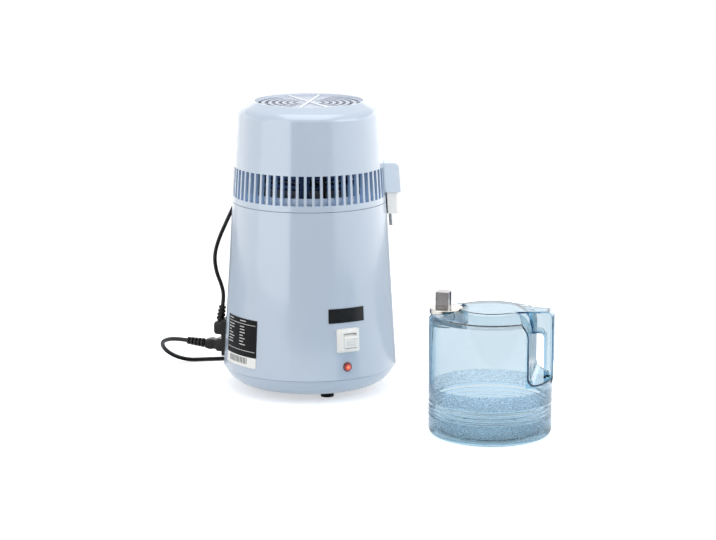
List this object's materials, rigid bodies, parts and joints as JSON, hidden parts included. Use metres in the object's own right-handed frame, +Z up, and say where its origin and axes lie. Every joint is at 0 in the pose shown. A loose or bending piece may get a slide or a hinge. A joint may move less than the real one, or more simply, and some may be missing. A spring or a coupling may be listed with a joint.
{
  "type": "countertop water distiller",
  "caption": "Light-blue countertop water distiller with a louvred lift-off head, side spout with filter cup, rocker switch, leads, and a clear jug with steel cap.",
  "frame": {"origin": "on the housing's axis, at table level under the feet", "axes": "+Z up, -Y towards the rocker switch, +X to the right when facing the switch"},
  "size_m": [0.3686, 0.613, 0.386],
  "materials": {
    "pale_blue_plastic": "gloss",
    "pan_plastic": "gloss",
    "grille_plastic": "satin",
    "cream_plastic": "satin",
    "white_plastic": "satin",
    "black_plastic": "satin",
    "label_black": "matte",
    "foot_rubber": "matte",
    "gasket_silicone": "matte",
    "cord_pvc": "satin",
    "stainless": "satin",
    "polished_steel": "polished",
    "screw_steel": "satin",
    "cast_aluminium": "satin",
    "element_sheath": "satin",
    "motor_paint": "satin",
    "pin_brass": "satin",
    "lamp_red": "gloss",
    "carbon_felt": "matte",
    "jug_clear": "clear"
  },
  "bodies": {
    "base": {"outer_housing": "pale_blue_plastic", "bottom_pan": "pan_plastic", "feet": "foot_rubber", "foot_screws": "screw_steel", "boiler_tank": "stainless", "tank_studs": "screw_steel", "stud_nuts": "screw_steel", "heater_plate": "cast_aluminium", "heating_element": "element_sheath", "thermostats": "cream_plastic", "switch_frame": "white_plastic", "lamp_lens": "lamp_red", "lamp_nut": "black_plastic", "lamp_body": "black_plastic", "socket_block": "black_plastic", "socket_pins": "pin_brass", "socket_screws": "screw_steel", "nameplate": "label_black", "rating_label": "label_black", "fan_plug": "black_plastic", "fan_cord": "cord_pvc"},
    "rocker": {"rocker": "white_plastic"},
    "head": {"dome_cover": "pale_blue_plastic", "top_grille": "grille_plastic", "head_tray": "pale_blue_plastic", "steel_lid": "stainless", "lid_gasket": "gasket_silicone", "lid_screws": "screw_steel", "condenser_coil": "stainless", "coil_combs": "black_plastic", "motor_bracket": "screw_steel", "bracket_screws": "screw_steel", "fan_motor": "motor_paint", "motor_screws": "screw_steel", "spout_hood": "pale_blue_plastic", "cord_gland": "black_plastic"},
    "fan": {"fan_rotor": "black_plastic", "rotor_nut": "screw_steel"},
    "cup": {"filter_cup": "cream_plastic", "carbon_pod": "carbon_felt", "drip_tube": "stainless"},
    "lead": {"mains_connector": "black_plastic", "mains_cord": "cord_pvc", "mains_cord_coil": "cord_pvc", "coil_tie": "black_plastic", "mains_cord_tail": "cord_pvc", "mains_plug": "black_plastic", "plug_pins": "pin_brass"},
    "jug": {"jug_body": "jug_clear"},
    "cap": {"cap_disc": "polished_steel", "cap_seal": "gasket_silicone", "cap_knob": "polished_steel", "knob_screw": "screw_steel"}
  },
  "joints": [
    {"name": "head_lift", "type": "slide", "parent": "base", "child": "head", "axis": [0, 0, 1], "range_m": [0, 0.03], "deforming": ["fan_cord"]},
    {"name": "fan_spin", "type": "hinge", "parent": "head", "child": "fan", "pos_m": [0, 0, 0.364], "axis": [0, 0, 1], "continuous": true},
    {"name": "filter_cup_slide", "type": "slide", "parent": "head", "child": "cup", "axis": [0.0578, -0.021, -0.9981], "range_m": [0, 0.035]},
    {"name": "rocker_tilt", "type": "hinge", "parent": "base", "child": "rocker", "pos_m": [0, -0.1108, 0.08594], "axis": [-1, 0, 0], "range_deg": [0, 20]},
    {"name": "mains_unplug", "type": "slide", "parent": "base", "child": "lead", "axis": [-0.7547, 0.6561, 0], "range_m": [0, 0.022]},
    {"name": "jug_lift", "type": "slide", "parent": "base", "child": "jug", "axis": [0, 0, 1], "range_m": [0, 0.2]},
    {"name": "cap_lift", "type": "slide", "parent": "jug", "child": "cap", "axis": [0, 0, 1], "range_m": [0, 0.06]}
  ]
}
